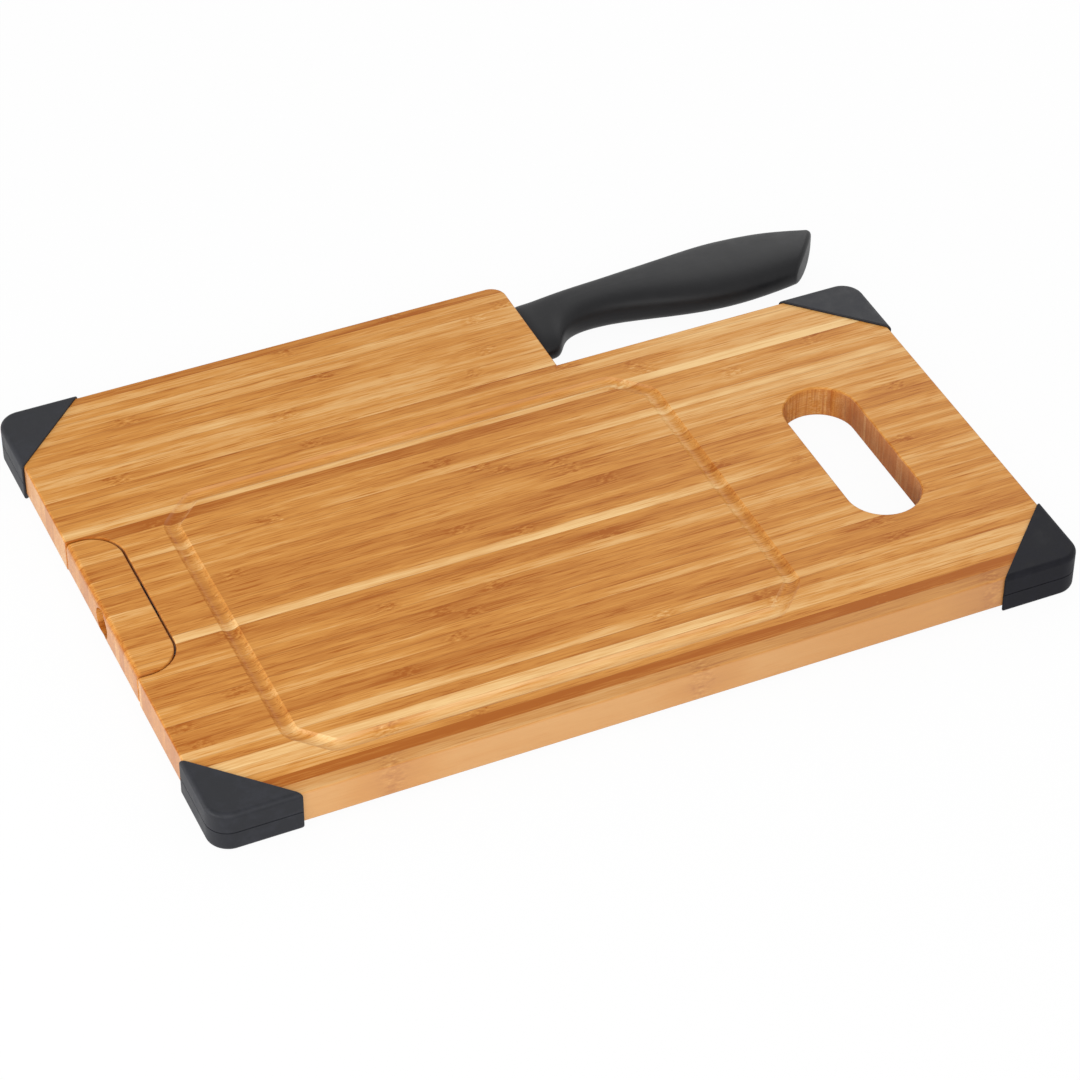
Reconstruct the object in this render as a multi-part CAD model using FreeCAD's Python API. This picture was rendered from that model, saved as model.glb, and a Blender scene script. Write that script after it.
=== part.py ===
"""Bamboo cutting board with a knife stored in its back step, a pull-out sharpener block and rubber corner caps.

Lengths in millimetres, angles in degrees, +Z up. The pieces are modelled with the front left lower corner
of the wood at zero: X runs along the strips, Y to the back. They are moved to the part's frame on export,
where the origin lies on the table under the middle of the whole part, with the knife and block stored.
"""
import FreeCAD
import Part
import math
import os

vec = FreeCAD.Vector

# Board: an L outline, full depth at the left and narrower at the right, where the knife handle lies
board_length = 372.0
board_depth = 260.0
narrow_depth = 198.6
step_place = 230.0
board_thickness = 15.0
board_edge_radius = 1.0
board_corner_radius = 9.0
step_corner_radius = 7.0

# Glued bamboo strips, front edge to back: relative widths within the narrow part, then within the step
front_strip_shares = [
    1.20, 1.05, 0.93, 1.10, 0.94, 1.06, 0.86, 0.99, 1.03, 0.99, 0.97, 1.03, 0.99,
    1.07, 1.05, 0.98, 1.02, 0.97, 0.90, 1.03, 0.97, 1.00, 1.10, 1.04, 1.12, 1.08,
    0.86, 0.80, 0.90, 1.08, 1.08, 1.12, 0.81, 1.02, 1.08, 1.01, 0.84,
]
back_strip_shares = [1.08, 1.08, 1.08, 1.10, 0.98, 0.96, 0.96, 0.96, 0.96, 0.96, 0.89]

# Hand slot through the board near its right end
slot_width = 32.0
slot_length = 87.0
slot_place = 318.6
slot_middle = 96.7

# Juice groove: a ring with cut corners, made with a ball-nosed cutter
groove_left = 43.1
groove_right = 258.5
groove_margin = 19.3
groove_corner_cut = 13.5
groove_turn_radius = 6.0
groove_cutter_radius = 5.4
groove_depth = 1.3

# Rubber corner caps, which are also the feet
cap_leg = 34.8
cap_wall = 1.2
cap_lip = 1.0
cap_foot = 2.8
cap_corner_radius = 9.5
cap_edge_radius = 2.2
cap_end_radius = 0.5
cap_inner_radius = 8.0
cap_slit_height = 0.4
cap_slit_depth = 0.3
cap_slit_height_share = 0.5

# Knife blade and tang, lying flat at the middle of the board's thickness with the edge to the front
blade_length = 200.0
blade_heel = 33.0
blade_thickness = 2.0
blade_shoulder_width = 1.6
blade_shoulder_thickness = 0.6
tang_length = 96.0
tang_width = 10.0
tang_inset = 4.0
knife_spine_place = 248.0

# Blade stations: share of the length from the heel, of the heel width for spine drop and edge rise,
# and of the thickness for the spine
blade_station_shares = [
    (0.00, 0.00, 0.00, 1.00),
    (0.20, 0.01, 0.00, 0.97),
    (0.42, 0.04, 0.00, 0.90),
    (0.62, 0.10, 0.02, 0.82),
    (0.78, 0.20, 0.08, 0.74),
    (0.90, 0.33, 0.20, 0.66),
    (0.97, 0.46, 0.35, 0.58),
    (1.00, 0.56, 0.52, 0.50),
]

# Blade pocket in the board, open at the step wall
pocket_height = 3.2
pocket_edge_clearance = 2.0
pocket_spine_clearance = 3.0
pocket_end_clearance = 4.0

# Moulded knife handle
handle_length = 146.0
handle_width = 37.0
handle_thickness = 17.0
handle_gap = 0.6
handle_spine_rise = 1.4
handle_tip_drop = 4.2
handle_butt_radius = 120.0
handle_butt_angle = 59.0
handle_butt_rounding = 2.4
handle_fullness_share = 0.72

# Handle stations: share of the length from the step wall, of the width for the spine's rise above and the
# belly's depth below the spine line at the wall, and of the thickness
handle_station_shares = [
    (0.000, -0.020, 0.945, 0.64),
    (0.010, 0.000, 0.970, 0.71),
    (0.034, 0.000, 0.970, 0.73),
    (0.062, 0.000, 0.945, 0.78),
    (0.089, 0.000, 0.765, 0.82),
    (0.123, 0.000, 0.635, 0.87),
    (0.178, 0.010, 0.560, 0.92),
    (0.274, 0.025, 0.560, 0.96),
    (0.397, 0.075, 0.675, 1.00),
    (0.520, 0.125, 0.800, 1.00),
    (0.644, 0.180, 0.865, 1.00),
    (0.767, 0.148, 0.840, 0.98),
    (0.890, 0.082, 0.780, 0.92),
    (1.041, -0.163, 0.620, 0.82),
]

# Pull-out sharpener block in the left end of the board
block_place = 85.2
block_length = 87.3
block_depth = 20.4
block_gap = 0.8
block_corner_radius = 15.0
block_edge_radius = 2.4
rim_radius = 0.7
finger_hole_radius = 6.5
finger_hole_depth = 8.0

# Sharpener cartridge on the block's inner face, with two ceramic rods set in a V
cartridge_length = 20.0
cartridge_height = 10.4
cartridge_reach = 11.0
cartridge_seat = 6.0
cartridge_vee_mouth = 6.4
cartridge_vee_depth = 8.5
mortise_clearance = 1.0
rod_radius = 1.5
rod_length = 12.0
rod_angle = 20.0
rod_spacing = 5.0
rod_clearance = 0.1

# Disc magnets that hold the block in its bay, in the block and in the board
magnet_radius = 3.0
magnet_thickness = 2.5
magnet_spacing = 51.0
magnet_clearance = 0.1

# Length by which every cutter runs past the face that it opens
overrun = 5.0

middle_height = board_thickness / 2
bay_end = block_depth
block_middle = block_place + block_length / 2
knife_front = step_place + handle_gap


def box(low_x, high_x, low_y, high_y, low_z, high_z):
    """Box between two corners."""
    size = vec(high_x, high_y, high_z) - vec(low_x, low_y, low_z)
    return Part.makeBox(size.x, size.y, size.z, vec(low_x, low_y, low_z))


def rounded_wire(corners, height):
    """Closed wire at a height through (x, y, radius) corners, each rounded to its radius."""
    turns = []
    for i, (x, y, radius) in enumerate(corners):
        corner = vec(x, y, height)
        before = vec(corners[i - 1][0], corners[i - 1][1], height) - corner
        following = corners[(i + 1) % len(corners)]
        after = vec(following[0], following[1], height) - corner
        half_angle = before.getAngle(after) / 2
        reach = radius / math.tan(half_angle)
        before.normalize()
        after.normalize()
        inward = (before + after).normalize()
        crown = corner + inward * (radius / math.sin(half_angle) - radius)
        turns.append((corner + before * reach, crown, corner + after * reach))
    edges = []
    for i, (start, crown, end) in enumerate(turns):
        last_end = turns[i - 1][2]
        if last_end.distanceToPoint(start) > Part.Precision.confusion():
            edges.append(Part.LineSegment(last_end, start).toShape())
        if start.distanceToPoint(end) > Part.Precision.confusion():
            edges.append(Part.Arc(start, crown, end).toShape())
    return Part.Wire(edges)


def rounded_prism(corners, low, high):
    """Upright solid on an outline of rounded corners."""
    return Part.Face(rounded_wire(corners, low)).extrude(vec(0, 0, high - low))


def level_edges(shape, height):
    """Edges of a shape that lie flat at a height."""
    near = Part.Precision.confusion()
    return [e for e in shape.Edges
            if abs(e.BoundBox.ZMin - height) < near and abs(e.BoundBox.ZMax - height) < near]


def skin(stations, side_degree):
    """Smooth solid along stations, each a list of sides, each side the poles of a curve of one degree."""
    count = len(stations)
    degree = 3
    spans = count - degree
    length_knots = list(range(spans + 1))
    length_mults = [degree + 1] + [1] * (spans - 1) + [degree + 1]
    faces = []
    for k in range(len(stations[0])):
        surface = Part.BSplineSurface()
        surface.buildFromPolesMultsKnots(
            [station[k] for station in stations], length_mults, [side_degree + 1] * 2, length_knots, [0, 1],
            False, False, degree, side_degree)
        faces.append(surface.toShape())
    for station in (stations[0], stations[-1]):
        edges = []
        for poles in station:
            curve = Part.BezierCurve()
            curve.setPoles(poles)
            edges.append(curve.toShape())
        faces.append(Part.Face(Part.Wire(edges)))
    shell = Part.makeShell(faces)
    shell.sewShape()
    solid = Part.makeSolid(shell)
    if solid.Volume < 0:
        solid.reverse()
    return solid


def block_outline(gap):
    """Outline of the block's bay, or of the block when a gap is taken off it."""
    front = block_place + gap
    back = block_place + block_length - gap
    inner = bay_end - gap
    radius = block_corner_radius - gap
    return front, back, inner, radius


def magnet_places():
    """Y of the two magnets."""
    return [block_middle - magnet_spacing / 2, block_middle + magnet_spacing / 2]


def disc(start_x, length, y, radius):
    """Disc or hole along +X at the middle of the thickness."""
    return Part.makeCylinder(radius, length, vec(start_x, y, middle_height), vec(1, 0, 0))


def groove_cutter():
    """Round bar along the groove's ring, with its centre above the board."""
    front = groove_margin
    back = narrow_depth - groove_margin
    cut = groove_corner_cut
    corners = [
        (groove_left + cut, front), (groove_right - cut, front),
        (groove_right, front + cut), (groove_right, back - cut),
        (groove_right - cut, back), (groove_left + cut, back),
        (groove_left, back - cut), (groove_left, front + cut),
    ]
    height = board_thickness + groove_cutter_radius - groove_depth
    ring = rounded_wire([(x, y, groove_turn_radius) for x, y in corners], height)
    first = ring.OrderedEdges[0]
    start = first.valueAt(first.FirstParameter)
    ahead = first.tangentAt(first.FirstParameter)
    section = Part.Wire(Part.makeCircle(groove_cutter_radius, start, ahead))
    return ring.makePipeShell([section], True, True)


def blade_pocket():
    """Space cut for the blade, open at the step wall."""
    return box(
        step_place - blade_length - pocket_end_clearance, step_place + overrun,
        knife_spine_place - blade_heel - pocket_edge_clearance, knife_spine_place + pocket_spine_clearance,
        middle_height - pocket_height / 2, middle_height + pocket_height / 2)


def sharpener_mortise():
    """Space in the bay's inner wall for the cartridge."""
    half_length = cartridge_length / 2 + mortise_clearance
    half_height = cartridge_height / 2 + mortise_clearance
    return box(
        bay_end - overrun, bay_end + cartridge_reach + mortise_clearance,
        block_middle - half_length, block_middle + half_length,
        middle_height - half_height, middle_height + half_height)


def make_panel():
    """The whole wooden board, before it is divided into its strips."""
    outline = [
        (0, 0, board_corner_radius),
        (board_length, 0, board_corner_radius),
        (board_length, narrow_depth, board_corner_radius),
        (step_place, narrow_depth, 0),
        (step_place, board_depth, step_corner_radius),
        (0, board_depth, board_corner_radius),
    ]
    panel = rounded_prism(outline, 0, board_thickness)
    half_width = slot_width / 2
    half_length = slot_length / 2
    slot = [
        (slot_place - half_width, slot_middle - half_length, half_width),
        (slot_place + half_width, slot_middle - half_length, half_width),
        (slot_place + half_width, slot_middle + half_length, half_width),
        (slot_place - half_width, slot_middle + half_length, half_width),
    ]
    panel = panel.cut(rounded_prism(slot, -overrun, board_thickness + overrun))
    panel = panel.makeFillet(board_edge_radius, level_edges(panel, 0) + level_edges(panel, board_thickness))
    front, back, inner, radius = block_outline(0)
    bay = [(-overrun, front, 0), (inner, front, radius), (inner, back, radius), (-overrun, back, 0)]
    panel = panel.cut(rounded_prism(bay, -overrun, board_thickness + overrun))
    rim = [e for e in level_edges(panel, board_thickness)
           if e.BoundBox.XMax < inner + overrun and e.BoundBox.YMin > front - overrun
           and e.BoundBox.YMax < back + overrun]
    panel = panel.makeFillet(rim_radius, rim)
    cutters = [
        groove_cutter(),
        blade_pocket(),
        sharpener_mortise(),
    ]
    for y in magnet_places():
        cutters.append(disc(bay_end - overrun, overrun + magnet_thickness, y, magnet_radius + magnet_clearance))
    return panel.cut(cutters)


def strip_lines():
    """Y of every glue line, from the front edge to the back edge."""
    lines = [0]
    for start, width, shares in (
        (0, narrow_depth, front_strip_shares),
        (narrow_depth, board_depth - narrow_depth, back_strip_shares),
    ):
        for i in range(len(shares)):
            lines.append(start + width * sum(shares[:i + 1]) / sum(shares))
    return lines


def make_strips():
    """The board's bamboo strips, by name."""
    panel = make_panel()
    lines = strip_lines()
    strips = {}
    for i in range(len(lines) - 1):
        slice_box = box(-overrun, board_length + overrun, lines[i], lines[i + 1],
                        -overrun, board_thickness + overrun)
        strips["bamboo_strip_%02d" % (i + 1)] = panel.common(slice_box)
    return strips


def make_cap():
    """Corner cap round a corner of the board at zero, whose sides run along +X and +Y."""
    low = -cap_foot
    high = board_thickness + cap_lip
    reach = cap_leg + cap_wall + overrun
    body = rounded_prism([(-cap_wall, -cap_wall, cap_corner_radius), (reach, -cap_wall, 0),
                          (reach, reach, 0), (-cap_wall, reach, 0)], low, high)
    outer_edges = [e for e in level_edges(body, low) + level_edges(body, high)
                   if e.BoundBox.XMin < cap_corner_radius and e.BoundBox.YMin < cap_corner_radius]
    body = body.makeFillet(cap_edge_radius, outer_edges)
    wood = [(0, 0, cap_inner_radius), (reach + overrun, 0, 0), (reach + overrun, reach + overrun, 0),
            (0, reach + overrun, 0)]
    body = body.cut(rounded_prism(wood, 0, board_thickness))
    corner = -cap_wall - overrun
    side = [(corner, corner, 0), (cap_leg - corner, corner, 0), (corner, cap_leg - corner, 0)]
    body = body.common(rounded_prism(side, low - overrun, high + overrun))
    end_face = max(body.Faces, key=lambda face: face.CenterOfMass.x + face.CenterOfMass.y)
    body = body.makeFillet(cap_end_radius, end_face.OuterWire.Edges)
    slit_low = low + (high - low) * cap_slit_height_share - cap_slit_height / 2
    slit_high = slit_low + cap_slit_height
    floor = cap_slit_depth - cap_wall
    kept = [(floor, floor, cap_corner_radius - cap_slit_depth), (reach + overrun, floor, 0),
            (reach + overrun, reach + overrun, 0), (floor, reach + overrun, 0)]
    ring = box(-cap_wall - overrun, reach, -cap_wall - overrun, reach, slit_low, slit_high)
    return body.cut(ring.cut(rounded_prism(kept, slit_low, slit_high)))


def make_caps():
    """The four corner caps, by name."""
    corners = {
        "corner_cap_front_left": (0, 0, 0),
        "corner_cap_front_right": (board_length, 0, 90),
        "corner_cap_back_right": (board_length, narrow_depth, 180),
        "corner_cap_back_left": (0, board_depth, 270),
    }
    caps = {}
    for name, (x, y, turn) in corners.items():
        cap = make_cap()
        cap.rotate(vec(0, 0, 0), vec(0, 0, 1), turn)
        cap.translate(vec(x, y, 0))
        caps[name] = cap
    return caps


def blade_section(x, spine, edge, thickness):
    """Sides of a section across the blade: flat ground from the spine to a shoulder, then to the edge."""
    shoulder = edge + blade_shoulder_width
    half = thickness / 2
    half_shoulder = min(blade_shoulder_thickness, thickness) / 2
    corners = [
        (spine, half), (shoulder, half_shoulder), (edge, 0), (shoulder, -half_shoulder), (spine, -half),
    ]
    points = [vec(x, y, middle_height + z) for y, z in corners]
    return [[points[i - 1], points[i]] for i in range(len(points))]


def tang():
    """Flat tang behind the blade's heel, inside the handle."""
    high = knife_spine_place - tang_inset
    return box(knife_front, knife_front + tang_length, high - tang_width, high,
               middle_height - blade_thickness / 2, middle_height + blade_thickness / 2)


def make_blade():
    """Knife blade with its tang."""
    sections = []
    for along_share, drop_share, rise_share, thickness_share in blade_station_shares:
        x = knife_front - along_share * blade_length
        spine = knife_spine_place - drop_share * blade_heel
        edge = knife_spine_place - blade_heel + rise_share * blade_heel
        edge = min(edge, spine - blade_shoulder_width * 2)
        sections.append(blade_section(x, spine, edge, thickness_share * blade_thickness))
    return skin(sections, 1).fuse(tang())


def handle_section(x, spine, belly, thickness):
    """Sides of a section across the handle: quarter curves that meet at belly, top, spine and underside."""
    middle = (spine + belly) / 2
    half = thickness / 2
    sides = []
    for end, up in ((belly, 1), (spine, 1), (spine, -1), (belly, -1)):
        side = vec(x, end, middle_height)
        side_pull = vec(x, end, middle_height + up * half * handle_fullness_share)
        crown_pull = vec(x, middle + (end - middle) * handle_fullness_share, middle_height + up * half)
        crown = vec(x, middle, middle_height + up * half)
        poles = [side, side_pull, crown_pull, crown]
        rising = (end == belly) == (up > 0)
        sides.append(poles if rising else poles[::-1])
    return sides


def make_handle():
    """Moulded knife handle with its guard and slanted butt."""
    base_spine = knife_spine_place + handle_spine_rise
    sections = []
    for along_share, rise_share, belly_share, thickness_share in handle_station_shares:
        x = knife_front + along_share * handle_length
        spine = base_spine + rise_share * handle_width
        belly = base_spine - belly_share * handle_width
        sections.append(handle_section(x, spine, belly, thickness_share * handle_thickness))
    handle = skin(sections, 3)
    slope = math.radians(handle_butt_angle)
    tip = vec(knife_front + handle_length, base_spine - handle_tip_drop, 0)
    centre = tip + vec(-math.sin(slope), math.cos(slope), 0) * handle_butt_radius
    waste = box(centre.x, tip.x + handle_length, centre.y - handle_butt_radius - overrun, centre.y,
                -handle_thickness, handle_thickness * 2)
    waste = waste.cut(Part.makeCylinder(handle_butt_radius, handle_thickness * 4,
                                        vec(centre.x, centre.y, -handle_thickness * 2)))
    handle = handle.cut(waste)
    butt_edges = [e for f in handle.Faces if f.Surface.TypeId == "Part::GeomCylinder" for e in f.Edges]
    handle = handle.makeFillet(handle_butt_rounding, butt_edges)
    return handle.cut(tang())


def make_block():
    """Bamboo sharpener block with its finger hole and its seats for the cartridge and magnets."""
    front, back, inner, radius = block_outline(block_gap)
    outline = [(0, front, 0), (inner, front, radius), (inner, back, radius), (0, back, 0)]
    block = rounded_prism(outline, 0, board_thickness)
    outer_edges = [e for e in level_edges(block, 0) + level_edges(block, board_thickness)
                   if e.BoundBox.XMax < Part.Precision.confusion()]
    block = block.makeFillet(block_edge_radius, outer_edges)
    block = block.makeFillet(rim_radius, level_edges(block, board_thickness))
    finger_hole = disc(-overrun, overrun + finger_hole_depth, block_middle, finger_hole_radius)
    seat = box(inner - cartridge_seat, inner + overrun,
               block_middle - cartridge_length / 2, block_middle + cartridge_length / 2,
               middle_height - cartridge_height / 2, middle_height + cartridge_height / 2)
    cutters = [finger_hole, seat]
    for y in magnet_places():
        cutters.append(disc(inner - magnet_thickness, magnet_thickness + overrun, y,
                            magnet_radius + magnet_clearance))
    return block.cut(cutters)


def make_rods(radius):
    """The two ceramic rods, crossed in a V that opens away from the block."""
    inner = block_outline(block_gap)[2]
    vee_x = inner + cartridge_reach - cartridge_vee_depth
    rods = []
    for side in (1, -1):
        ahead = vec(math.cos(math.radians(rod_angle)), 0, side * math.sin(math.radians(rod_angle)))
        crossing = vec(vee_x, block_middle + side * rod_spacing / 2, middle_height)
        start = crossing - ahead * (rod_length - cartridge_vee_depth)
        rods.append(Part.makeCylinder(radius, rod_length, start, ahead))
    return rods


def make_cartridge():
    """Plastic holder of the rods, seated in the block, with a V mouth for the blade."""
    inner = block_outline(block_gap)[2]
    front = inner + cartridge_reach
    half_length = cartridge_length / 2
    holder = box(inner - cartridge_seat, front, block_middle - half_length, block_middle + half_length,
                 middle_height - cartridge_height / 2, middle_height + cartridge_height / 2)
    mouth = vec(front, block_middle - half_length, middle_height)
    half_mouth = vec(0, 0, cartridge_vee_mouth / 2)
    root = mouth - vec(cartridge_vee_depth, 0, 0)
    vee = Part.Face(Part.makePolygon([mouth + half_mouth, root, mouth - half_mouth, mouth + half_mouth]))
    return holder.cut([vee.extrude(vec(0, cartridge_length, 0))] + make_rods(rod_radius + rod_clearance))


def make_magnets():
    """Magnets in the block's inner face and, facing them, in the wall of its bay."""
    inner = block_outline(block_gap)[2]
    return {
        "block_magnets": Part.makeCompound(
            [disc(inner - magnet_thickness, magnet_thickness, y, magnet_radius) for y in magnet_places()]),
        "board_magnets": Part.makeCompound(
            [disc(bay_end, magnet_thickness, y, magnet_radius) for y in magnet_places()]),
    }


def main():
    nodes = make_strips()
    nodes.update(make_caps())
    nodes["knife_blade"] = make_blade()
    nodes["knife_handle"] = make_handle()
    nodes["sharpener_block"] = make_block()
    nodes["sharpener_cartridge"] = make_cartridge()
    nodes["sharpening_rods"] = Part.makeCompound(make_rods(rod_radius))
    nodes.update(make_magnets())
    caps = [nodes[name] for name in nodes if name.startswith("corner_cap")]
    reach = Part.makeCompound(caps + [nodes["knife_handle"]]).optimalBoundingBox(False, False)
    to_frame = vec(-reach.Center.x, -reach.Center.y, -reach.ZMin)
    os.makedirs("parts", exist_ok=True)
    for name, shape in nodes.items():
        shape.translate(to_frame)
        shape.exportStep("parts/%s.step" % name)
        volume = sum(solid.Volume for solid in shape.Solids)
        print(name, len(shape.Solids), "solid(s)", round(volume, 1), "mm3", shape.isValid())


main()
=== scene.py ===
import math

import bpy
from mathutils import Matrix, Vector


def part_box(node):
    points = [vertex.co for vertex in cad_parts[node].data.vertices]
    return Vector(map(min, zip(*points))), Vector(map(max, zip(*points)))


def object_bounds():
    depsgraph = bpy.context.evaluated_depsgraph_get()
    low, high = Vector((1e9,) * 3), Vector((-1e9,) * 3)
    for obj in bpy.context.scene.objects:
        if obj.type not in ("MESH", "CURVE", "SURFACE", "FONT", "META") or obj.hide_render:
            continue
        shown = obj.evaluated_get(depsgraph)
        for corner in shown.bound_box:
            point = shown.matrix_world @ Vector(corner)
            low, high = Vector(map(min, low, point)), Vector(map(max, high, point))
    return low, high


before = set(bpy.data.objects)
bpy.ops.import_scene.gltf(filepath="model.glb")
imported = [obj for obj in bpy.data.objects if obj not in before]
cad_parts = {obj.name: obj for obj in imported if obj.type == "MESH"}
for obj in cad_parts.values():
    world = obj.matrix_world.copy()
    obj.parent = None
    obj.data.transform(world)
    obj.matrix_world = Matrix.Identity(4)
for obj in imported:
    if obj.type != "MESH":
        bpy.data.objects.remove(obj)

cad_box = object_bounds()

# The photograph's viewpoint, in degrees and metres
view_azimuth = math.radians(-24.344)
view_elevation = math.radians(40.873)
view_roll = math.radians(0.317)
view_distance = 1.5423
view_target = Vector((-0.00376, -0.0175, 0.0028))
lens_length = 125.14
sensor_width = 36.0

# Strips of the panel from the front edge to the back: tone, from 0 for deep brown to 1 for palest
strip_tone_shares = [
    0.58, 0.00, 0.48, 0.76, 0.86, 0.41, 0.73, 0.34, 0.29, 0.35, 0.53, 0.47,
    0.34, 0.36, 0.42, 0.56, 0.32, 0.36, 0.82, 0.39, 0.35, 0.37, 0.30, 0.40,
    0.42, 0.46, 0.42, 0.44, 0.60, 0.38, 0.46, 0.20, 0.78, 0.46, 0.42, 0.47,
    0.36, 0.55, 0.58, 0.62, 0.61, 0.45, 0.46, 0.55, 0.66, 0.51, 0.61, 0.28,
]
# Strips lighten towards the right, those at the back more than those at the front, and some differ: partly their own
# paler tone, partly a painted sheen from the back right
right_tone_and_sheen_rise_shares = (0.04, 0.26)
right_tone_and_sheen_shares = {
    1: 0.42, 2: 0.06, 4: 0.68, 5: 0.64, 7: 0.57, 8: 0.36, 9: 0.35, 19: 0.64, 23: 0.34,
    27: 0.54, 28: 0.70, 32: 0.54, 34: 0.76, 36: 0.78, 37: 0.68,
}
# Where each strip's knuckle lies along the board's length
knuckle_shares = [
    0.54, 0.76, 0.30, 0.21, 0.66, 0.65, 0.54, 0.03, 0.26, 0.02, 0.33, 0.09,
    0.36, 0.33, 0.40, 0.28, 0.54, 0.91, 0.79, 0.46, 0.70, 0.40, 0.58, 0.15,
    0.55, 0.54, 0.48, 0.46, 0.22, 0.42, 0.79, 0.90, 0.66, 0.70, 0.69, 0.31,
    0.62, 0.09, 0.52, 0.30, 0.55, 0.68, 0.36, 0.13, 0.56, 0.60, 0.34, 0.47,
]
# Strips of the pull-out block from its front end to its back end
block_tone_shares = [
    0.48, 0.50, 0.52, 0.34, 0.40, 0.46, 0.56, 0.42, 0.32, 0.52, 0.44, 0.36, 0.34, 0.62, 0.42, 0.42,
]

# Strips that have a wide face on the outside of the board, and those that are bleached all over
outer_strips = (1, 37, 48)
bleach_shares = {1: 0.35}

# Tone gained from a strip's near edge to its far edge: every third strip lies the other way round
usual_lean = -0.14
turned_lean = 0.16
block_lean = 0.12

# Distance between knuckles, in metres, and the strips that were cut from shorter canes
internode_length = 0.30
internode_lengths = {1: 0.13}
block_knuckle_offset = 0.05

# Seeds that tell the grain of the strips apart
strip_seed_step = 7.3
block_seed_start = 400.0
block_seed_step = 5.7

# Waves of each mark in a metre: along a strip, across it and up
wander_waves = (60, 500, 500)
fibre_waves = (65, 1500, 1500)
band_waves = (11, 420, 300)
patch_waves = (17, 110, 110)
dash_waves = (38, 1250, 1250)
speck_waves = (70, 1900, 1900)
curl_waves = (330, 850, 850)
slot_shade_waves = (900, 900, 40)
scratch_waves = (30, 4000, 4000)

# How far each mark moves the tone
band_change = 0.46
patch_change = 0.42
fibre_change = 0.60
dash_change = -0.18
speck_change = -0.24
curl_change = 1.3
smudge_change = -0.20
painted_edge_shade_change = -0.16
groove_wall_light_and_shade_change = 0.25
end_change = 0.40

# Where the noise of a mark starts to show, and where it is full
dash_range = (0.60, 0.70)
speck_range = (0.60, 0.66)

# Reach of the marks, in metres
knuckle_reach = (0.001, 0.008)
smudge_reach = (0.002, 0.028)
knuckle_sway = 0.008
fibre_sway = 0.006
lightening_reach = (0.0, 0.12)
glue_reach = (0.0, 0.0004)

# How squarely a face looks along an axis, from 0 to 1: where a finish starts, and where it is full
wide_facing = (0.6, 0.95)
end_facing = (0.72, 0.95)
edge_start_facing = (0.10, 0.35)
edge_stop_facing = (0.80, 0.97)
upright_facing = (0.1, 0.6)
sloping_facing = (0.85, 0.98)
groove_wall_light_and_shade_limit = 0.36

# Bamboo colours, from 0 to 255
deep_bamboo = (170, 93, 22)
middle_bamboo = (213, 146, 68)
pale_bamboo = (246, 205, 142)
bleached_and_sheen_bamboo = (189, 143, 97)
groove_sheen_white = (236, 214, 190)
end_grain_brown = (184, 136, 98)
pore_brown = (150, 92, 56)
glue_brown = (128, 70, 32)
slot_shade_brown = (172, 94, 40)

# Satin lacquer, thicker on wide faces and on ends, over bamboo that has little gloss of its own
lacquer_share = 0.12
wide_lacquer_share = 0.30
end_lacquer_share = 0.36
lacquer_roughness = 0.43
lacquer_ior = 1.7
bamboo_gloss = 0.07
bamboo_roughness = 0.36
fibre_roughness = 0.14
thin_roughness = 0.3
fibre_depth = 0.00006

# Middle of the hand slot, how far from it its wall reaches, and the width of the fade there
slot_middle = (0.1313, -0.0333, 0.0103)
slot_reach = 0.046
slot_fade = 0.002

# Middle of the groove's ring, and how far it reaches each way
ring_middle = (-0.0365, -0.0307, 0.0)
ring_reach = (0.113, 0.085, 1.0)

# Stage
floor_size = 12.0
floor_whiteness = 0.95
world_level = 0.66


def srgb(red, green, blue):
    """Scene colour of a screen colour from 0 to 255."""
    def channel(value):
        value = value / 255
        return value / 12.92 if value <= 0.04045 else ((value + 0.055) / 1.055) ** 2.4
    return (channel(red), channel(green), channel(blue), 1.0)


# Node helpers
def put(tree, kind, settings=(), sockets=()):
    """Adds a node, sets its properties and fills its sockets with values or links."""
    node = tree.nodes.new(kind)
    for name, value in dict(settings).items():
        setattr(node, name, value)
    for name, value in dict(sockets).items():
        if isinstance(value, bpy.types.NodeSocket):
            tree.links.new(value, node.inputs[name])
        else:
            node.inputs[name].default_value = value
    return node


def sums(tree, operation, *values):
    """A Math node's result."""
    return put(tree, "ShaderNodeMath", {"operation": operation}, enumerate(values)).outputs[0]


def vectors(tree, operation, *values):
    """A Vector Math node's vector."""
    return put(tree, "ShaderNodeVectorMath", {"operation": operation}, enumerate(values)).outputs[0]


def split(tree, vector):
    """The three sides of a vector."""
    return put(tree, "ShaderNodeSeparateXYZ", {}, {0: vector}).outputs


def fade(tree, value, low, high, start=0.0, end=1.0):
    """Smooth step of a value from start at low to end at high."""
    sockets = {"Value": value, "From Min": low, "From Max": high, "To Min": start, "To Max": end}
    return put(tree, "ShaderNodeMapRange", {"interpolation_type": "SMOOTHSTEP"}, sockets).outputs[0]


def rest_of(tree, share):
    """What a share leaves of 1."""
    return sums(tree, "SUBTRACT", 1.0, share)


def blend(tree, factor, first, second):
    """Mixes two colours."""
    return put(tree, "ShaderNodeMix", {"data_type": "RGBA"}, {0: factor, 6: first, 7: second}).outputs[2]


def noise(tree, vector, scale=1.0, detail=2.0, roughness=0.55):
    """Cloudy noise from 0 to 1."""
    sockets = {"Vector": vector, "Scale": scale, "Detail": detail, "Roughness": roughness}
    return put(tree, "ShaderNodeTexNoise", {}, sockets).outputs[0]


def swing(tree, value, amount, total):
    """Adds a noise's swing about its middle to a running total."""
    return sums(tree, "MULTIPLY_ADD", sums(tree, "ADD", value, -0.5), amount, total)


def object_place(tree):
    """Place on the object."""
    return put(tree, "ShaderNodeTexCoord").outputs["Object"]


def new_group(name, inputs, outputs):
    """Empty shader group with named sockets: returns the tree, what it is given and its output node."""
    tree = bpy.data.node_groups.new(name, "ShaderNodeTree")
    for socket, kind in inputs:
        tree.interface.new_socket(socket, in_out="INPUT", socket_type=kind)
    for socket, kind in outputs:
        tree.interface.new_socket(socket, in_out="OUTPUT", socket_type=kind)
    return tree, tree.nodes.new("NodeGroupInput").outputs, tree.nodes.new("NodeGroupOutput")


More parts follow.
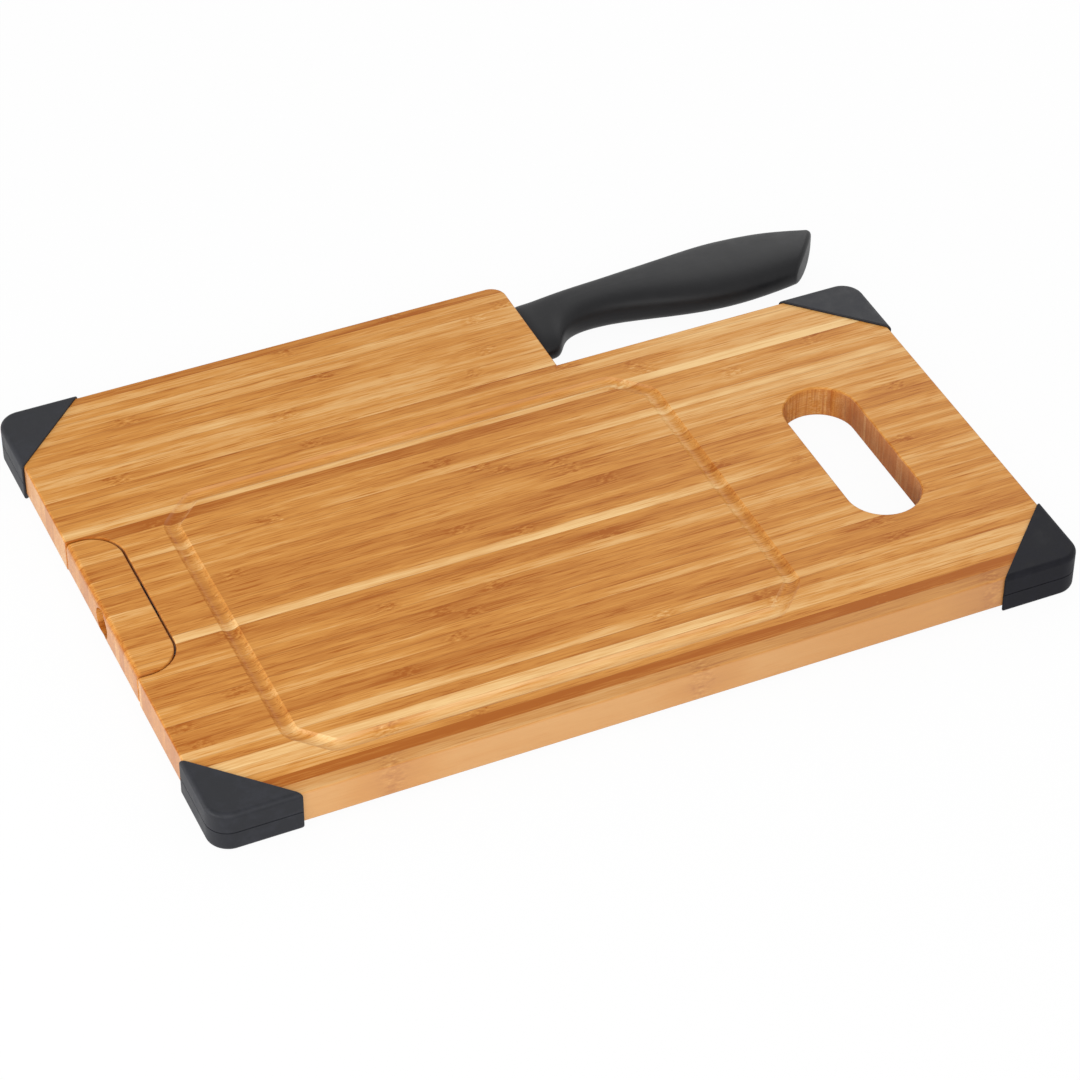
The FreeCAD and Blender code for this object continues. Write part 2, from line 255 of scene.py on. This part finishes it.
def use_group(tree, group, sockets):
    """Places a shader group in a tree."""
    return put(tree, "ShaderNodeGroup", {"node_tree": group}, sockets)


def new_material(name):
    """Empty material: returns it, its tree and its surface shader."""
    material = bpy.data.materials.new(name)
    material.use_nodes = True
    tree = material.node_tree
    return material, tree, tree.nodes["Principled BSDF"]


def bamboo_grain_group():
    """Fibres, knuckles, glue lines and end grain of one bamboo strip that runs along X."""
    colour, number = "NodeSocketColor", "NodeSocketFloat"
    tree, given, result = new_group(
        "bamboo grain",
        [("Tone", number), ("Right Tone And Sheen", number), ("Knuckle", number), ("Internode", number),
         ("Near Edge", number), ("Width", number), ("Lean", number), ("Outer", number),
         ("Bleach", number), ("Seed", number)],
        [("Color", colour), ("Roughness", number), ("Lacquer", number), ("Height", number)])
    spot = put(tree, "ShaderNodeTexCoord").outputs
    place = spot["Object"]
    along, across, _ = split(tree, place)
    normal = split(tree, spot["Normal"])
    facing_x, facing_y, facing_z = (sums(tree, "ABSOLUTE", side) for side in normal)
    seed = put(tree, "ShaderNodeCombineXYZ", {}, {0: given["Seed"], 2: given["Seed"]}).outputs[0]

    # A knuckle crosses the strip on a wavy line, and comes again one internode further on
    wander = noise(tree, vectors(tree, "MULTIPLY", place, wander_waves), detail=1.0)
    beyond = sums(tree, "SUBTRACT", along, given["Knuckle"])
    beyond = sums(tree, "ADD", beyond, sums(tree, "MULTIPLY_ADD", wander, knuckle_sway, -knuckle_sway / 2))
    half = sums(tree, "MULTIPLY", given["Internode"], 0.5)
    away = sums(tree, "ABSOLUTE", sums(tree, "WRAP", beyond, half, sums(tree, "MULTIPLY", half, -1.0)))
    knuckle = fade(tree, away, *knuckle_reach, 1.0, 0.0)
    smudge = fade(tree, away, *smudge_reach, 1.0, 0.0)

    # Fibres run along the strip and bend at the knuckle
    bend = sums(tree, "MULTIPLY", knuckle, sums(tree, "MULTIPLY_ADD", wander, fibre_sway, -fibre_sway / 2))
    bent = vectors(tree, "ADD", place, put(tree, "ShaderNodeCombineXYZ", {}, {1: bend}).outputs[0])

    def strip_noise(waves, **look):
        return noise(tree, vectors(tree, "ADD", vectors(tree, "MULTIPLY", bent, waves), seed), **look)

    fibre = strip_noise(fibre_waves, detail=3.0, roughness=0.6)
    band = strip_noise(band_waves, detail=2.0, roughness=0.5)
    patch = strip_noise(patch_waves, detail=1.0)
    dash = fade(tree, strip_noise(dash_waves, detail=1.0), *dash_range)
    speck = fade(tree, strip_noise(speck_waves, detail=1.0), *speck_range)
    curl = noise(tree, vectors(tree, "MULTIPLY", place, curl_waves), detail=2.0, roughness=0.6)

    # One side of a strip, towards the outside of the cane, is denser and darker
    share = sums(tree, "DIVIDE", sums(tree, "SUBTRACT", across, given["Near Edge"]), given["Width"])
    # Towards the right end the tone rises to the right tone, which holds a painted sheen from the back right as well
    # as the strip's own paler tone
    right = fade(tree, along, *lightening_reach)
    rise = sums(tree, "SUBTRACT", given["Right Tone And Sheen"], given["Tone"])
    base = sums(tree, "MULTIPLY_ADD", right, rise, given["Tone"])
    tone = swing(tree, share, given["Lean"], base)

    # Bands, patches, fibres, dashes and specks, with fainter specks on a pale strip
    tone = swing(tree, band, band_change, tone)
    tone = swing(tree, patch, patch_change, tone)
    tone = swing(tree, fibre, fibre_change, tone)
    tone = sums(tree, "MULTIPLY_ADD", dash, dash_change, tone)
    speck = sums(tree, "MULTIPLY", speck, fade(tree, base, 0.55, 0.85, 1.0, 0.35))
    tone = sums(tree, "MULTIPLY_ADD", speck, speck_change, tone)

    # The wide face of an outer strip is a little paler and much more even than its edge
    flat = sums(tree, "MULTIPLY", fade(tree, facing_y, *wide_facing), given["Outer"])
    calm = sums(tree, "MULTIPLY_ADD", sums(tree, "SUBTRACT", tone, base), 0.25, sums(tree, "ADD", base, 0.04))
    tone = sums(tree, "MULTIPLY_ADD", flat, sums(tree, "SUBTRACT", calm, tone), tone)

    # Knuckles are curly, in the middle of a brown smudge, and stronger on a wide face
    smudge = sums(tree, "MULTIPLY", smudge, fade(tree, patch, 0.30, 0.60, 0.3, 1.0))
    curly = sums(tree, "MULTIPLY", sums(tree, "MULTIPLY", knuckle, sums(tree, "ADD", curl, -0.54)), curl_change)
    curly = sums(tree, "MULTIPLY_ADD", smudge, smudge_change, curly)
    tone = sums(tree, "MULTIPLY_ADD", curly, sums(tree, "MULTIPLY_ADD", flat, 0.3, 1.0), tone)

    # The board's rounded edges are painted a little darker, a painted shade that dims the highlight they catch, but
    # not the rim of the groove
    from_ring = vectors(tree, "DIVIDE", vectors(tree, "SUBTRACT", place, ring_middle), ring_reach)
    ring_x, ring_y, _ = split(tree, vectors(tree, "ABSOLUTE", from_ring))
    in_ring = sums(tree, "LESS_THAN", sums(tree, "MAXIMUM", ring_x, ring_y), 1.0)
    painted_edge_shade = sums(tree, "MULTIPLY", fade(tree, facing_z, *edge_start_facing),
                  fade(tree, facing_z, *edge_stop_facing, 1.0, 0.0))
    painted_edge_shade = sums(tree, "MULTIPLY", painted_edge_shade, rest_of(tree, in_ring))
    tone = sums(tree, "MULTIPLY_ADD", painted_edge_shade, painted_edge_shade_change, tone)

    # The groove's side legs get painted light and shade: walls that face away from the ring's middle are painted
    # paler, and walls that face towards it darker
    side = sums(tree, "SIGN", sums(tree, "SUBTRACT", along, ring_middle[0]))
    outward = sums(tree, "MULTIPLY", normal[0], side)
    outward = sums(tree, "MINIMUM", sums(tree, "MAXIMUM", outward, -groove_wall_light_and_shade_limit), groove_wall_light_and_shade_limit)
    tone = sums(tree, "MULTIPLY_ADD", sums(tree, "MULTIPLY", outward, in_ring), groove_wall_light_and_shade_change, tone)

    # End grain differs more from strip to strip than the sides do
    end = fade(tree, facing_x, *end_facing)
    chance = put(tree, "ShaderNodeTexWhiteNoise", {"noise_dimensions": "1D"}, {"W": given["Seed"]}).outputs[0]
    chance = sums(tree, "MULTIPLY", end, sums(tree, "ADD", chance, -0.5))
    tone = sums(tree, "MULTIPLY_ADD", chance, end_change, tone)
    ramp = put(tree, "ShaderNodeValToRGB", {}, {0: tone})
    points = ramp.color_ramp.elements
    points[0].color = srgb(*deep_bamboo)
    points[1].color = srgb(*pale_bamboo)
    points.new(0.5).color = srgb(*middle_bamboo)
    body = ramp.outputs[0]

    # Glue lines, plainer on the ends, then bleaching, which on the wide face of an outer strip is also a painted
    # sheen, and the pores of the end grain
    edge = sums(tree, "MULTIPLY", sums(tree, "MINIMUM", share, rest_of(tree, share)), given["Width"])
    glue = sums(tree, "MULTIPLY_ADD", end, 0.25, fade(tree, band, 0.35, 0.6, 0.4, 0.05))
    glue = sums(tree, "MULTIPLY", fade(tree, edge, *glue_reach, 1.0, 0.0), glue)
    glue = sums(tree, "MULTIPLY", glue, rest_of(tree, flat))
    body = blend(tree, glue, body, srgb(*glue_brown))
    # The wide face of an outer strip is blended paler and less saturated here as a painted sheen; a bleached strip is
    # bleached all over
    bleach_and_sheen = sums(tree, "MAXIMUM", sums(tree, "MULTIPLY", flat, 0.55), given["Bleach"])
    body = blend(tree, bleach_and_sheen, body, srgb(*bleached_and_sheen_bamboo))
    body = blend(tree, sums(tree, "MULTIPLY", end, 0.5), body, srgb(*end_grain_brown))
    pores = sums(tree, "MULTIPLY", end, fade(tree, fibre, 0.35, 0.55, 0.30, 0.0))
    body = blend(tree, pores, body, srgb(*pore_brown))

    # The wall of the hand slot is painted a darker brown in upright streaks: painted shade inside the slot
    to_slot = put(tree, "ShaderNodeVectorMath", {"operation": "DISTANCE"}, {0: place, 1: slot_middle}).outputs["Value"]
    near_slot = fade(tree, to_slot, slot_reach, slot_reach + slot_fade, 1.0, 0.0)
    routed = sums(tree, "MULTIPLY", near_slot, fade(tree, facing_z, *upright_facing, 1.0, 0.0))
    streak = noise(tree, vectors(tree, "MULTIPLY", place, slot_shade_waves), detail=1.0)
    slot_shade = sums(tree, "MULTIPLY", routed, fade(tree, streak, 0.3, 0.7, 0.20, 0.70))
    body = blend(tree, slot_shade, body, srgb(*slot_shade_brown))

    # The lacquer is thin on the slot's wall and on the sloping wall of the groove
    sloped = sums(tree, "MULTIPLY", fade(tree, facing_z, *sloping_facing, 1.0, 0.0), in_ring)
    # The groove's sloping wall is painted paler and whiter, most where it faces along Y: a painted sheen
    painted_groove_sheen = sums(tree, "MULTIPLY", sloped, fade(tree, facing_y, 0.1, 0.5, 0.02, 0.12))
    body = blend(tree, painted_groove_sheen, body, srgb(*groove_sheen_white))
    thin = sums(tree, "MAXIMUM", sums(tree, "MULTIPLY", routed, 0.8), sloped)
    lacquer = sums(tree, "MULTIPLY_ADD", flat, wide_lacquer_share, lacquer_share)
    lacquer = sums(tree, "MULTIPLY_ADD", end, end_lacquer_share, lacquer)
    lacquer = sums(tree, "MULTIPLY", lacquer, rest_of(tree, thin))
    rough = sums(tree, "MULTIPLY_ADD", fibre, fibre_roughness, bamboo_roughness)
    rough = sums(tree, "MULTIPLY_ADD", thin, thin_roughness, rough)
    height = sums(tree, "SUBTRACT", fibre, sums(tree, "MULTIPLY", knuckle, curl))
    tree.links.new(body, result.inputs["Color"])
    tree.links.new(rough, result.inputs["Roughness"])
    tree.links.new(lacquer, result.inputs["Lacquer"])
    tree.links.new(height, result.inputs["Height"])
    return tree


def moulded_grain_group():
    """Fine moulded grain with faint cloudy marks."""
    colour, number = "NodeSocketColor", "NodeSocketFloat"
    tree, given, result = new_group(
        "moulded grain",
        [("Clean", colour), ("Dusty", colour), ("Smoothest", number), ("Roughest", number)],
        [("Color", colour), ("Roughness", number), ("Height", number)])
    place = object_place(tree)
    cloud = noise(tree, place, scale=130.0, detail=4.0, roughness=0.65)
    grain = noise(tree, place, scale=3500.0, detail=2.0, roughness=0.6)
    body = blend(tree, fade(tree, cloud, 0.42, 0.72), given["Clean"], given["Dusty"])
    rough = put(tree, "ShaderNodeMapRange", {}, {
        "Value": cloud, "From Min": 0.3, "From Max": 0.7,
        "To Min": given["Smoothest"], "To Max": given["Roughest"]}).outputs[0]
    tree.links.new(body, result.inputs["Color"])
    tree.links.new(rough, result.inputs["Roughness"])
    tree.links.new(grain, result.inputs["Height"])
    return tree


def dress(tree, shader, grain, strength, depth):
    """Feeds a shader from a grain group, with a bump of the given depth in metres."""
    sockets = {"Strength": strength, "Distance": depth, "Height": grain.outputs["Height"]}
    bump = put(tree, "ShaderNodeBump", {}, sockets)
    tree.links.new(grain.outputs["Color"], shader.inputs["Base Color"])
    tree.links.new(grain.outputs["Roughness"], shader.inputs["Roughness"])
    tree.links.new(bump.outputs[0], shader.inputs["Normal"])


def lacquer_bamboo(tree, shader, grain):
    """Bare bamboo has little gloss, and a satin lacquer lies over it."""
    dress(tree, shader, grain, strength=0.5, depth=fibre_depth)
    tree.links.new(grain.outputs["Lacquer"], shader.inputs["Coat Weight"])
    shader.inputs["Coat Roughness"].default_value = lacquer_roughness
    shader.inputs["Coat IOR"].default_value = lacquer_ior
    shader.inputs["Specular IOR Level"].default_value = bamboo_gloss


bamboo_grain = bamboo_grain_group()
moulded_grain = moulded_grain_group()


def strip_material(number):
    """Lacquered bamboo for one strip of the panel, counted from 1 at the front edge."""
    low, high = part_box("bamboo_strip_%02d" % number)
    board_left, board_right = cad_box[0][0], cad_box[1][0]
    tone = strip_tone_shares[number - 1]
    front_rise, back_rise = right_tone_and_sheen_rise_shares
    rise = front_rise + (back_rise - front_rise) * number / len(strip_tone_shares)
    material, tree, shader = new_material("bamboo strip %02d" % number)
    grain = use_group(tree, bamboo_grain, {
        "Tone": tone,
        "Right Tone And Sheen": right_tone_and_sheen_shares.get(number, tone + rise),
        "Knuckle": board_left + knuckle_shares[number - 1] * (board_right - board_left),
        "Internode": internode_lengths.get(number, internode_length),
        "Near Edge": low.y,
        "Width": high.y - low.y,
        "Lean": usual_lean if number % 3 else turned_lean,
        "Outer": 1.0 if number in outer_strips else 0.0,
        "Bleach": bleach_shares.get(number, 0.0),
        "Seed": strip_seed_step * number})
    lacquer_bamboo(tree, shader, grain)
    return material


def block_material():
    """Lacquered bamboo of the pull-out block, whose strips don't line up with the panel's."""
    low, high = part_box("sharpener_block")
    count = len(block_tone_shares)
    width = (high.y - low.y) / count
    material, tree, shader = new_material("bamboo block")
    across = split(tree, object_place(tree))[1]
    share = sums(tree, "DIVIDE", sums(tree, "SUBTRACT", across, low.y), high.y - low.y)
    index = sums(tree, "FLOOR", sums(tree, "MULTIPLY", share, float(count)))
    ramp = put(tree, "ShaderNodeValToRGB", {}, {0: share})
    ramp.color_ramp.interpolation = "CONSTANT"
    points = ramp.color_ramp.elements
    points[1].position = 1 / count
    for step in range(2, count):
        points.new(step / count)
    for point, tone in zip(points, block_tone_shares):
        point.color = (tone, tone, tone, 1.0)
    grain = use_group(tree, bamboo_grain, {
        "Tone": ramp.outputs[0],
        "Right Tone And Sheen": ramp.outputs[0],
        "Knuckle": low.x - block_knuckle_offset,
        "Internode": internode_length,
        "Near Edge": sums(tree, "MULTIPLY_ADD", index, width, low.y),
        "Width": width,
        "Lean": block_lean,
        "Outer": 0.0,
        "Bleach": 0.0,
        "Seed": sums(tree, "MULTIPLY_ADD", index, block_seed_step, block_seed_start)})
    lacquer_bamboo(tree, shader, grain)
    return material


def moulded_material(name, clean, dusty, smoothest, roughest, depth, gloss):
    """Moulded rubber, plastic or ceramic, with the depth of its grain in metres."""
    material, tree, shader = new_material(name)
    grain = use_group(tree, moulded_grain, {
        "Clean": srgb(*clean), "Dusty": srgb(*dusty), "Smoothest": smoothest, "Roughest": roughest})
    dress(tree, shader, grain, strength=0.4, depth=depth)
    shader.inputs["Specular IOR Level"].default_value = gloss
    return material


def polish(tree, shader, marks, dull, bright, smoothest):
    """Bare metal whose colour and roughness follow its marks."""
    tree.links.new(blend(tree, marks, srgb(*dull), srgb(*bright)), shader.inputs["Base Color"])
    tree.links.new(sums(tree, "MULTIPLY_ADD", marks, 0.2, smoothest), shader.inputs["Roughness"])
    shader.inputs["Metallic"].default_value = 1.0


def blade_material():
    """Steel ground lengthwise, with fine straight scratches."""
    material, tree, shader = new_material("ground steel")
    waves = vectors(tree, "MULTIPLY", object_place(tree), scratch_waves)
    scratches = noise(tree, waves, detail=3.0, roughness=0.7)
    polish(tree, shader, scratches, dull=(176, 177, 180), bright=(208, 208, 210), smoothest=0.2)
    bump = put(tree, "ShaderNodeBump", {}, {"Strength": 0.2, "Distance": 0.00002, "Height": scratches})
    tree.links.new(bump.outputs[0], shader.inputs["Normal"])
    return material


def magnet_material():
    """Bright plating with faint stains."""
    material, tree, shader = new_material("nickel plating")
    stains = noise(tree, object_place(tree), scale=400.0, detail=3.0)
    polish(tree, shader, stains, dull=(186, 184, 180), bright=(220, 219, 217), smoothest=0.12)
    return material


def paint(node, material):
    """Gives a CAD node its finish."""
    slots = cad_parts[node].data.materials
    slots.clear()
    slots.append(material)


for number in range(1, len(strip_tone_shares) + 1):
    paint("bamboo_strip_%02d" % number, strip_material(number))
paint("sharpener_block", block_material())

rubber = moulded_material(
    "corner rubber", clean=(28, 29, 34), dusty=(40, 41, 47),
    smoothest=0.44, roughest=0.62, depth=0.00008, gloss=0.28)
# The front right cap gets a darker, less glossy copy of the rubber: painted shade, as that cap lies in less light
shaded_rubber_copy = moulded_material(
    "corner rubber with painted shade", clean=(22, 22, 27), dusty=(30, 30, 36),
    smoothest=0.44, roughest=0.62, depth=0.00008, gloss=0.12)
paint("corner_cap_front_left", rubber)
paint("corner_cap_front_right", shaded_rubber_copy)
paint("corner_cap_back_right", rubber)
paint("corner_cap_back_left", rubber)

paint("knife_blade", blade_material())
paint("knife_handle", moulded_material(
    "handle plastic", clean=(20, 20, 22), dusty=(24, 24, 26),
    smoothest=0.42, roughest=0.50, depth=0.00003, gloss=0.24))

paint("sharpener_cartridge", moulded_material(
    "cartridge plastic", clean=(44, 44, 47), dusty=(52, 52, 55),
    smoothest=0.45, roughest=0.6, depth=0.00004, gloss=0.5))
paint("sharpening_rods", moulded_material(
    "ceramic", clean=(236, 234, 228), dusty=(222, 219, 211),
    smoothest=0.5, roughest=0.65, depth=0.00002, gloss=0.5))

plating = magnet_material()
paint("block_magnets", plating)
paint("board_magnets", plating)


# Stage: pale floor, soft light and camera
def seen_rays(tree):
    """1 for the camera's rays and for those that gloss and glass pass on, 0 for the rest."""
    path = put(tree, "ShaderNodeLightPath").outputs
    seen = sums(tree, "MAXIMUM", path["Is Camera Ray"], path["Is Glossy Ray"])
    return sums(tree, "MAXIMUM", seen, path["Is Transmission Ray"])


def floor_material():
    """Pale floor that reads white in the picture and keeps a soft shadow."""
    material, tree, shader = new_material("pale floor")
    shader.inputs["Base Color"].default_value = (0.9, 0.9, 0.9, 1.0)
    shader.inputs["Roughness"].default_value = 0.9
    white = put(tree, "ShaderNodeEmission", {}, {"Strength": 1.0})
    share = sums(tree, "MULTIPLY", seen_rays(tree), floor_whiteness)
    mixed = put(tree, "ShaderNodeMixShader", {}, {0: share, 1: shader.outputs[0], 2: white.outputs[0]})
    tree.links.new(mixed.outputs[0], tree.nodes["Material Output"].inputs["Surface"])
    return material


def add_floor():
    """Wide floor under the board's feet."""
    bpy.ops.object.select_all(action="DESELECT")
    bpy.ops.mesh.primitive_plane_add(size=floor_size, location=(0.0, 0.0, cad_box[0][2]))
    floor = bpy.context.object
    floor.name = "floor"
    bpy.ops.object.transform_apply(location=True, rotation=True, scale=True)
    floor.data.materials.append(floor_material())


def add_softbox(name, place, width, height, power):
    """Soft lamp that looks at the board."""
    lamp = bpy.data.lights.new(name, "AREA")
    lamp.shape = "RECTANGLE"
    lamp.size = width
    lamp.size_y = height
    lamp.energy = power
    lamp_object = bpy.data.objects.new(name, lamp)
    bpy.context.scene.collection.objects.link(lamp_object)
    lamp_object.location = place
    lamp_object.rotation_euler = Vector(place).to_track_quat("Z", "Y").to_euler()


def light_world(level):
    """Even light from all round, white where the camera sees it."""
    world = bpy.data.worlds.new("studio")
    bpy.context.scene.world = world
    world.use_nodes = True
    tree = world.node_tree
    background = tree.nodes["Background"]
    background.inputs["Color"].default_value = (1.0, 1.0, 1.0, 1.0)
    strength = sums(tree, "MULTIPLY_ADD", seen_rays(tree), 1.0 - level, level)
    tree.links.new(strength, background.inputs["Strength"])


def add_camera():
    """Camera at the photograph's viewpoint."""
    camera = bpy.data.cameras.new("camera")
    camera.lens = lens_length
    camera.sensor_width = sensor_width
    camera_object = bpy.data.objects.new("camera", camera)
    bpy.context.scene.collection.objects.link(camera_object)
    right = Vector((math.cos(view_azimuth), math.sin(view_azimuth), 0.0))
    back = Vector((math.sin(view_azimuth) * math.cos(view_elevation),
                   -math.cos(view_azimuth) * math.cos(view_elevation),
                   math.sin(view_elevation)))
    turn = Matrix((right, back.cross(right), back)).transposed() @ Matrix.Rotation(view_roll, 3, "Z")
    camera_object.matrix_world = Matrix.Translation(view_target + back * view_distance) @ turn.to_4x4()
    bpy.context.scene.camera = camera_object


add_floor()
add_softbox("left softbox", place=(-0.70, -0.08, 0.11), width=0.8, height=0.2, power=2.3)
add_softbox("front softbox", place=(-0.35, -1.15, 0.70), width=0.8, height=0.8, power=8.5)
add_softbox("back softbox", place=(0.75, 0.85, 0.60), width=0.6, height=0.6, power=2.2)
light_world(world_level)
add_camera()
bpy.context.scene.view_settings.view_transform = "Standard"
